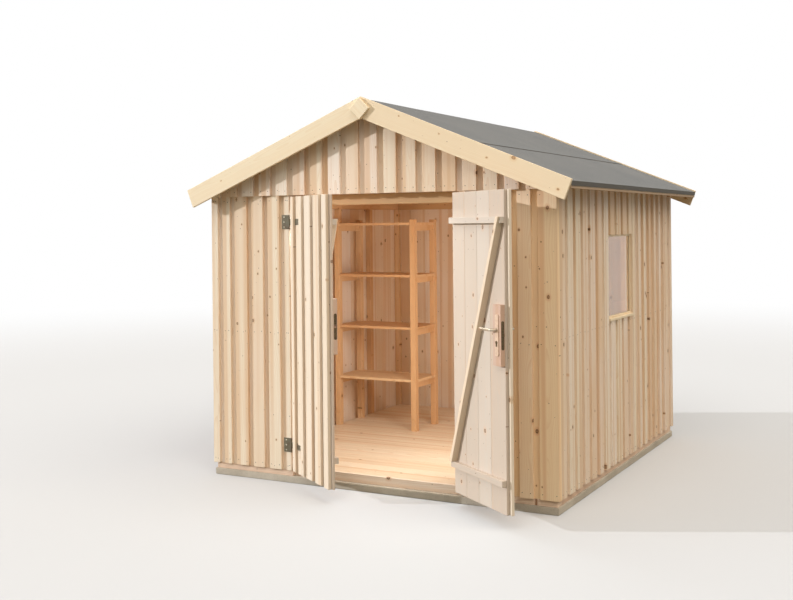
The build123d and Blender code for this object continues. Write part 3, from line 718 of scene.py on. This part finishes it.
# The front boards right of the doorway's middle take the painted warm bounce light
clad_wall("front_wall_boards", FRONT, ["front_wall"], 11, front_ranges, bounce_lit_from=0.0)
clad_wall("back_wall_boards", BACK, ["back_wall"], 12)
clad_wall("left_wall_boards", LEFT_SIDE, ["left_wall"], 13)
sill_low, sill_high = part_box("window_sill")
frame_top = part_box("window_frame")[1].z
window_hole = (sill_low.y, sill_high.y, sill_low.z, frame_top)
clad_wall("right_wall_boards", RIGHT_SIDE, ["right_wall", "right_wall_at_window"], 14, opening=window_hole)


# Roof planes, read from the deck
deck_corners = [p for p in points("roof_deck") if p.x > 0]
deck_ridge_x, deck_eave_x = extent(p.x for p in deck_corners)
soffit_ridge_z, deck_ridge_z = extent(p.z for p in deck_corners if p.x - deck_ridge_x < MATCH)
deck_eave_z = max(p.z for p in deck_corners if deck_eave_x - p.x < MATCH)
FALL = (deck_ridge_z - deck_eave_z) / (deck_eave_x - deck_ridge_x)
SLOPE = math.atan(FALL)


def soffit_z(x):
    """Height of the deck's underside."""
    return soffit_ridge_z - (abs(x) - deck_ridge_x) * FALL


def clad_gable(name, place, node, seed):
    """A gable of boards and covers cut to the roof, notched over the ridge beam and the purlins."""
    corners = points(node, place)
    inner, root, outer = levels(p.z for p in corners)
    low = min(p.y for p in corners)
    covers = spans(corners, outer, low)
    side = max(p.x for p in corners)
    clearance = soffit_z(side) - max(p.y for p in corners if side - p.x < MATCH)
    holes = []
    for beam in ("ridge_beam", "purlins"):
        beam_corners = points(beam)
        bottom = min(p.z for p in beam_corners) - MATCH
        beams = pairs(levels(p.x for p in beam_corners if p.z - bottom < 2 * MATCH))
        holes += [(a - MATCH, b + MATCH, bottom) for a, b in beams]

    def outline(a, b):
        """A board from its foot up to the roof or the beam above it."""
        cuts = sorted({0.0, *(x for hole in holes for x in hole[:2])})
        stops = [a] + [c for c in cuts if a + SLIVER < c < b - SLIVER] + [b]
        top = []
        for left, right in zip(stops, stops[1:]):
            over = [h[2] for h in holes if h[0] < (left + right) / 2 < h[1]]
            for x in (left, right):
                z = over[0] if over else soffit_z(x) - clearance
                if not top or (Vector(top[-1]) - Vector((x, z))).length > MATCH:
                    top.append((x, z))
        return [(a, low), (b, low)] + top[::-1]

    piece = Piece(name, seed)
    # Boards behind the covers take darker tones: painted shade in the recesses between the covers
    for a, b in behind(-side, side, covers):
        piece.plank(outline(a, b), (inner, root), place, NORTH, tone=piece.recess_shade_tone())
    for a, b in covers:
        piece.plank(outline(a, b), (root, outer), place, NORTH)
    nail_row(place, covers, outer, [low + NAIL_FROM_END])
    piece.finish("cladding", SHED, [node])


clad_gable("front_gable_boards", FRONT, "front_gable", 21)
clad_gable("back_gable_boards", BACK, "back_gable", 22)


# Roof deck of boards laid up the slope
def deck_boards():
    """Two slopes of boards, each cut plumb at the ridge and at the eave."""
    piece = Piece("roof_deck_boards", 31)
    deck_low, deck_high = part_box("roof_deck")
    count = round((deck_high.y - deck_low.y) / DECK_BOARD)
    width = (deck_high.y - deck_low.y) / count
    profile = [
        (deck_ridge_x, deck_ridge_z), (deck_ridge_x, soffit_ridge_z),
        (deck_eave_x, soffit_z(deck_eave_x)), (deck_eave_x, deck_eave_z),
    ]
    for side in (-1, 1):
        outline = [(side * x, z) for x, z in profile]
        along = (side * math.cos(SLOPE), -math.sin(SLOPE), 0)
        through = (side * math.sin(SLOPE), math.cos(SLOPE), 0)
        for i in range(count):
            near = deck_low.y + i * width
            piece.plank(outline, (-near - width + BOARD_JOINT, -near), FRONT, along, through=through)
    piece.finish("frame_timber", SHED, ["roof_deck"])


deck_boards()


# Roofing felt with a slightly uneven lie: heights in metres, waves per metre
FELT_STEP = 0.09
FELT_RIPPLE = 0.0011
FELT_RIPPLES = 2.2
FELT_EDGE = 0.006
FELT_EDGE_WANDER = 0.0022
FELT_EDGE_WAVES = 3.1
FELT_EDGE_POWER = 12


def section_of(solid):
    """The outline of a prism's front end, in X and Z, in order round it."""
    ends = [face for face in solid.faces if face.normal.y < -0.99]
    end = min(ends, key=lambda face: face.calc_center_median().y)
    return [v.co.xz.copy() for v in end.verts]


def closer(outline, step):
    """The same closed outline with points no further apart than the step."""
    found = []
    for one, two in zip(outline, outline[1:] + outline[:1]):
        parts = max(1, math.ceil((two - one).length / step))
        found += [one.lerp(two, i / parts) for i in range(parts)]
    return found


def laid(p, y, outermost, seed):
    """A point of a course's section at y, lifted by ripples, and at the eaves drawn in by waves."""
    side = math.copysign(1, p.x)
    edge = (abs(p.x) / outermost) ** FELT_EDGE_POWER
    lift = FELT_RIPPLE * noise.noise(Vector((p.x * FELT_RIPPLES, y * FELT_RIPPLES, seed)))
    wander = FELT_EDGE_WANDER * edge * noise.noise(Vector((y * FELT_EDGE_WAVES, seed, 4 * side)))
    wander = min(wander, 0.0) * side
    return (p.x + wander, y, p.y + lift - abs(wander) * 0.2)


def felt_courses(node, name, seed):
    """The courses of felt in one node, each its own section laid from gable to gable."""
    piece = Piece(name, seed)
    low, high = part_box(node)
    rows = math.ceil((high.y - low.y) / FELT_STEP)
    for solid in clean_copy(node):
        outline = closer(section_of(solid), FELT_STEP)
        outermost = max(abs(p.x) for p in outline)
        rings = []
        for i in range(rows + 1):
            y = low.y + (high.y - low.y) * i / rows
            rings.append([laid(p, y, outermost, seed) for p in outline])
        solid.free()
        piece.loft(rings, WORLD, NORTH, UP)

    def at_eave(face):
        """Whether a face lies wholly in the turned-down edge along an eave."""
        return all(abs(abs(piece.corners[i].x) - high.x) < FELT_EDGE for i in face)

    # The turned-down edge takes the dark felt: painted shade where it faces down
    piece.paints = [int(at_eave(face)) for face in piece.faces]
    piece.finish("roofing_felt", SHED, [node], second="shaded_felt_edge")


felt_courses("roof_felt_eaves", "felt_eave_courses", 33)
felt_courses("roof_felt_top", "felt_top_course", 34)


# Timbers that keep the CAD's shape with eased edges
for seed, (timber, finish) in enumerate([
    ("front_bargeboards", "trim_board"), ("back_bargeboards", "trim_board"), ("apex_plates", "trim_board"),
    ("eave_laths", "lath_timber"), ("window_frame", "trim_board"), ("window_sill", "trim_board"),
    ("side_sole_timbers", "base_timber"), ("end_sole_timbers", "base_timber"), ("threshold", "sill_timber"),
    ("floor_joists", "base_timber"), ("wall_studs", "frame_timber"), ("end_top_plates", "head_timber"),
    ("side_top_plates", "frame_timber"), ("ridge_beam", "frame_timber"), ("purlins", "frame_timber"),
    ("gable_frames", "head_timber"), ("rack_ends", "rack_wood"), ("rack_shelves", "rack_wood"),
], 100):
    dress(timber, finish, seed=seed)
dress("strike_block", "block_timber", LEFT, seed=130)
dress("lock_block", "block_timber", RIGHT, seed=131, chamfer=0.0012)
dress("concrete_base", "concrete", seed=140, chamfer=0.004, segments=2)


# Floor of boards from side to side
def floor_boards():
    """Boards along X; the front one fills the doorway up to the threshold."""
    piece = Piece("floor_boards", 41)
    low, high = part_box("floor")
    corners = points("floor")
    room_y = min(p.y for p in corners if p.x - low.x < MATCH)
    tongue = extent(p.x for p in corners if p.y - low.y < MATCH)
    piece.block((tongue[0], low.y, low.z), (tongue[1], room_y - BOARD_JOINT, high.z))
    count = round((high.y - room_y) / FLOOR_BOARD)
    width = (high.y - room_y) / count
    for i in range(count):
        near = room_y + i * width
        piece.block((low.x, near, low.z), (high.x, near + width - BOARD_JOINT, high.z))
    piece.finish("floor_board", SHED, ["floor"])


floor_boards()


# Door leaves; an outline is drawn in X and Z for PROFILE, and in Y and Z for SIDEWAYS
PROFILE = Matrix(((1, 0, 0), (0, 0, 1), (0, 1, 0))).to_4x4()
SIDEWAYS = Matrix(((0, 0, 1), (1, 0, 0), (0, 1, 0))).to_4x4()


def leaf_boards(side, place, body, seed):
    """Boards with cover boards, of which the first is grooved over the hinge straps, the second cut back."""
    node = side + "_leaf_boards"
    corners = points(node, place)
    low, high = extent(p.y for p in corners)
    inner, outer = extent(p.z for p in corners)
    start = min(p.x for p in corners)
    foot = [p for p in corners if p.y - low < MATCH]
    between = [p.z for p in foot if p.x - start > MATCH and abs(p.z - outer) > MATCH and p.z - inner > MATCH]
    root = levels(between)[-1]
    covers = spans(corners, outer, low)
    piece = Piece(node + "_laid", seed)

    # Boards, the last of them rebated where the other leaf laps over it
    piece.paint = 1
    board_end = max(p.x for p in foot if p.z - inner < MATCH)
    edge_face = levels(p.z for p in foot if abs(p.x - board_end) < MATCH)[-1]
    rebate = covers[-1][1] if edge_face < root - MATCH else board_end
    for a, b in behind(start, board_end, covers):
        outline = rectangle((a, inner), (b, root))
        if rebate < b - MATCH:
            outline[2:3] = [(b, edge_face), (rebate, edge_face), (rebate, root)]
        piece.plank(outline, (low, high), place @ PROFILE, UP, through=NORTH)

    # Cover boards, the first two cut for the straps
    piece.paint = 0
    first, second, *others = covers
    straps = points(side + "_leaf_straps", place)
    strap_rows = pairs(levels(p.y for p in straps))
    cuts = [(a - STRAP_CLEARANCE, b + STRAP_CLEARANCE) for a, b in reversed(strap_rows)]
    strap_end = max(p.x for p in straps) + STRAP_CLEARANCE
    strap_face = max(p.z for p in straps if p.x > second[0]) + STRAP_CLEARANCE
    outline = [(low, root), (low, outer), (high, outer), (high, root)]
    for a, b in cuts:
        outline += [(b, root), (b, strap_face), (a, strap_face), (a, root)]
    piece.plank(outline, first, place @ SIDEWAYS, EAST, tone=piece.paler(), through=NORTH)
    outline = rectangle((second[0], low), (second[1], high))
    for a, b in cuts:
        outline += [(second[0], b), (strap_end, b), (strap_end, a), (second[0], a)]
    piece.plank(outline, (root, outer), place, NORTH, tone=piece.paler())
    for a, b in others:
        piece.plank(rectangle((a, low), (b, high)), (root, outer), place, NORTH, tone=piece.paler())
    # Covers take leaf_face and the boards behind take leaf_inside: both painted darker against the sun on the
    # leaves
    piece.finish("leaf_face", body, [node], second="leaf_inside")


def leaf_bracing(side, place, body, seed):
    """The two ledges across a leaf's inside, and the brace that runs up between them."""
    node = side + "_leaf_bracing"
    corners = points(node, place)
    rows = levels(p.y for p in corners)
    depths = levels(p.z for p in corners)
    left, right = extent(p.x for p in corners)
    piece = Piece(node + "_laid", seed)
    for bottom, top in (rows[:2], rows[-2:]):
        piece.block((left, bottom, depths[1]), (right, top, depths[-1]), place)
    front = [p for p in corners if p.z - depths[0] < MATCH]
    foot = extent(p.x for p in front if abs(p.y - rows[1]) < MATCH)
    head = extent(p.x for p in front if abs(p.y - rows[-1]) < MATCH)
    outline = [(foot[0], rows[1]), (foot[1], rows[1]), (head[1], rows[-1]), (head[0], rows[-1])]
    along = Vector((head[1] - foot[1], rows[-1] - rows[1], 0))
    # The brace takes the paler tints of the cover boards: painted light on its shaded side
    piece.paint = 1
    piece.plank(outline, (depths[0], depths[-1]), place, along, TIMBER_CHAMFER)
    piece.finish("leaf_inside", body, [node], second="leaf_face")


for side, place, body, seed in (("left", LEFT_FACE, LEFT, 51), ("right", RIGHT_FACE, RIGHT, 61)):
    leaf_boards(side, place, body, seed)
    leaf_bracing(side, place, body, seed + 1)


# Hinges, strike and lock, each with how far its edges are eased
for seed, (fitting, finish, body, chamfer) in enumerate([
    ("wall_hinges", "galvanised_steel", SHED, 0.0005),
    ("left_leaf_straps", "galvanised_steel", LEFT, 0.0004),
    ("right_leaf_straps", "galvanised_steel", RIGHT, 0.0004),
    ("strike_plate", "dark_steel", LEFT, 0.0003),
    ("lock_faceplate", "dark_steel", RIGHT, 0.0003),
    ("lock_plates", "lock_metal", RIGHT, 0.0012),
    ("key_cylinder", "dark_steel", RIGHT, 0.0003),
], 71):
    dress(fitting, finish, body, chamfer, seed)


# Lever handle: a round neck on each side that bends into a flattened grip
LEVER_BEND = 0.016
LEVER_RADIUS = 0.008
LEVER_NECK = 0.0078
GRIP_HALF_HEIGHT = 0.0078
GRIP_HALF_DEPTH = 0.0055
LEVER_SIDES = 20
BEND_STEPS = 8
GRIP_STEPS = 6
END_STEPS = 4
STEPS_TO_A_POINT = 4.3


def lever():
    """Two levers on one spindle, swept from the spindle's middle out to the grips' ends."""
    corners = points("lever_handle", RIGHT_LEAF)
    (grip_x, neck_x), (near, far), (bottom, top) = [extent(p[i] for p in corners) for i in range(3)]
    height = (bottom + top) / 2
    spindle_x = neck_x - LEVER_NECK
    middle_y = (near + far) / 2
    around = [FULL_TURN * i / LEVER_SIDES for i in range(LEVER_SIDES)]
    piece = Piece("lever_handle_shaped", 81)
    for side, face in ((-1, near), (1, far)):
        # Centres and turns of the sections along the neck, the bend and the grip
        grip_y = face - side * LEVER_RADIUS
        bend_y = grip_y - side * LEVER_BEND
        path = [(Vector((spindle_x, middle_y, height)), 0.0), (Vector((spindle_x, bend_y, height)), 0.0)]
        for i in range(1, BEND_STEPS + 1):
            turn = QUARTER * i / BEND_STEPS
            turned = (LEVER_BEND * (1 - math.cos(turn)), LEVER_BEND * math.sin(turn))
            path.append((Vector((spindle_x - turned[0], bend_y + side * turned[1], height)), turn))
        start = path[-1][0].x
        end = grip_x + GRIP_HALF_HEIGHT
        for i in range(1, GRIP_STEPS + 1):
            path.append((Vector((start + (end - start) * i / GRIP_STEPS, grip_y, height)), QUARTER))

        # Sections that flatten along the bend, and a rounded end
        sections = []
        for index, (centre, turn) in enumerate(path):
            share = min(1.0, index / (BEND_STEPS + 1))
            wide = LEVER_NECK + (GRIP_HALF_DEPTH - LEVER_NECK) * share
            tall = LEVER_NECK + (GRIP_HALF_HEIGHT - LEVER_NECK) * share
            across = Vector((math.cos(turn), side * math.sin(turn), 0))
            sections.append((centre, across, wide, tall))
        centre, across, wide, tall = sections[-1]
        for i in range(1, END_STEPS + 1):
            turn = QUARTER * i / STEPS_TO_A_POINT
            further = centre + Vector((-GRIP_HALF_HEIGHT * math.sin(turn), 0, 0))
            sections.append((further, across, wide * math.cos(turn), tall * math.cos(turn)))
        rings = []
        for centre, across, wide, tall in sections:
            rings.append([centre + across * wide * math.cos(t) + UP * tall * math.sin(t) for t in around])
        piece.loft(rings, RIGHT_LEAF)
    piece.finish("lever_metal", HANDLE, ["lever_handle"])


lever()


# Screws on the hinge plates and the strap ends
def hinge_screws():
    """Three screws in each wall plate."""
    piece = Piece("hinge_screws", 82)
    for sign in (1, -1):
        corners = [p for p in points("wall_hinges") if p.x * sign < 0]
        plate_x = min(p.x * sign for p in corners) * sign
        plate = [p for p in corners if abs(p.x - plate_x) < MATCH]
        face_y = min(p.y for p in plate)
        for bottom, top in pairs(levels(p.z for p in plate)):
            for share in HINGE_SCREW_SHARES:
                height = bottom + (top - bottom) * share
                centre = Vector((plate_x + sign * HINGE_SCREW_INSET, face_y, height))
                piece.round_head(centre, -NORTH, *HINGE_SCREW)
    piece.finish("screw_steel", SHED, slot="galvanised_steel")


def strap_screws(side, place, body):
    """Two screws through the end of each strap."""
    piece = Piece(side + "_strap_screws", 83)
    straps = points(side + "_leaf_straps", place)
    reach = max(p.x for p in straps)
    face = max(p.z for p in straps if reach - p.x < MATCH)
    outward = place.to_3x3() @ UP
    for bottom, top in pairs(levels(p.y for p in straps)):
        for inset in STRAP_SCREW_INSETS:
            centre = place @ Vector((reach - inset, (bottom + top) / 2, face))
            piece.round_head(centre, outward, *STRAP_SCREW)
    piece.finish("screw_steel", body, slot="galvanised_steel")


hinge_screws()
strap_screws("left", LEFT_FACE, LEFT)
strap_screws("right", RIGHT_FACE, RIGHT)
nails.finish("dark_steel", SHED, slot="galvanised_steel")


# Ground, which fades into the background between two distances from the origin
GROUND_HALF = 20.0
GROUND_COLOUR = srgb(202, 205, 211)
GROUND_BOUNCE = srgb(112, 108, 88)
FADE_FROM = 6.0
FADE_TO = 17.0
WHITE = (1.0, 1.0, 1.0, 1.0)


def ray_kind(s):
    """1 for the rays that look at the background: from the camera, off gloss and through glass."""
    path = s.node("ShaderNodeLightPath")
    seen = 0.0
    for ray in ("Is Camera Ray", "Is Glossy Ray", "Is Transmission Ray"):
        seen = s.math("MAXIMUM", path.outputs[ray], seen)
    return seen


def make_ground():
    """A pale ground that fades into a white background; the light that it throws back has its own colour."""
    s = Shader("ground")
    seen = ray_kind(s)
    material = s.finish(Base_Color=s.mix(seen, GROUND_BOUNCE, GROUND_COLOUR), Roughness=0.9)
    far = s.node("ShaderNodeVectorMath", {0: s.place()}, operation="LENGTH").outputs["Value"]
    fade = s.times(s.range(far, FADE_FROM, FADE_TO), seen)
    near = s.output.inputs[0].links[0].from_socket
    white = s.node("ShaderNodeEmission", {"Strength": 1.0})
    blend = s.node("ShaderNodeMixShader", {0: fade, 1: near, 2: white.outputs[0]})
    s.tree.links.new(blend.outputs[0], s.output.inputs[0])
    mesh = bpy.data.meshes.new("ground")
    outline = rectangle((-GROUND_HALF, -GROUND_HALF), (GROUND_HALF, GROUND_HALF))
    mesh.from_pydata([(x, y, 0) for x, y in outline], [], [(0, 1, 2, 3)])
    mesh.materials.append(material)
    ground = add_object("ground", mesh)


# Light from outside: each lamp's direction, strength, spread in degrees and colour
OUTSIDE_LAMPS = {
    "sun": ((0.876, 0.417, -0.242), 2.68, 0.9, (1.0, 1.0, 1.0)),
    "side_fill": ((-0.62, 0.05, -0.78), 1.2, 50.0, (1.0, 0.86, 0.66)),
    "front_fill": ((-0.2, 0.56, -0.8), 1.05, 50.0, (1.0, 0.95, 0.84)),
}
ZENITH_COLOUR = (0.92, 0.88, 0.82, 1.0)
HORIZON_COLOUR = (0.1, 0.1, 0.1, 1.0)


def far_lamp(name, direction, strength, spread, colour):
    """A distant lamp whose light runs along the direction."""
    data = bpy.data.lights.new(name, "SUN")
    data.energy = strength
    data.angle = math.radians(spread)
    data.color = colour
    lamp = add_object(name, data)
    lamp.rotation_euler = Vector(direction).to_track_quat("-Z", "Y").to_euler()


def make_sky():
    """A sky that is dim at the horizon, and white where the camera, gloss or glass sees it."""
    world = bpy.data.worlds.new("sky")
    world.use_nodes = True
    bpy.context.scene.world = world
    s = Nodes(world.node_tree)
    direction = s.node("ShaderNodeTexCoord").outputs["Generated"]
    height = s.node("ShaderNodeSeparateXYZ", {0: direction}).outputs["Z"]
    sky = s.mix(height, HORIZON_COLOUR, ZENITH_COLOUR)
    colour = s.mix(ray_kind(s), sky, WHITE)
    s.tree.links.new(colour, s.tree.nodes["Background"].inputs["Color"])


# Light inside: how far each lamp is from the doorway, and its size, aim, power and colour
DOORWAY_LAMP_IN = 0.06
DOORWAY_LAMP_DOWN = 0.03
DOORWAY_LAMP = ((1.1, 0.08), (0, 0, -1), 11.0, (0.85, 0.98, 1.0))
ROOM_LAMP_IN = 0.25
ROOM_LAMP_ASIDE = 0.2
ROOM_LAMP_RAISED = 0.2
ROOM_LAMP = ((0.4, 1.0), (-1, 1.2, 0), 19.0, (1.0, 0.95, 0.85))


def inside_lamp(name, place, size, aim, power, colour):
    """A soft lamp inside the room, itself unseen."""
    data = bpy.data.lights.new(name, "AREA")
    data.shape = "RECTANGLE"
    data.size, data.size_y = size
    data.energy = power
    data.color = colour
    lamp = add_object(name, data)
    lamp.location = place
    lamp.rotation_euler = Vector(aim).to_track_quat("-Z", "Y").to_euler()
    lamp.visible_camera = False


def light_room():
    """Lamps behind the doorway's head and its right jamb, so that the inside shows its own colours."""
    floor_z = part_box("floor")[0].z
    head_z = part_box("end_top_plates")[0].z
    middle_x = (threshold_low.x + threshold_high.x) / 2
    over = (middle_x, threshold_high.y + DOORWAY_LAMP_IN, head_z - DOORWAY_LAMP_DOWN)
    inside_lamp("doorway_lamp", over, *DOORWAY_LAMP)
    beside_x = threshold_high.x + ROOM_LAMP_ASIDE
    beside = (beside_x, threshold_high.y + ROOM_LAMP_IN, (floor_z + head_z) / 2 + ROOM_LAMP_RAISED)
    inside_lamp("room_lamp", beside, *ROOM_LAMP)


make_camera()
make_ground()
for lamp_name, settings in OUTSIDE_LAMPS.items():
    far_lamp(lamp_name, *settings)
make_sky()
light_room()
bpy.context.scene.view_settings.view_transform = "Standard"
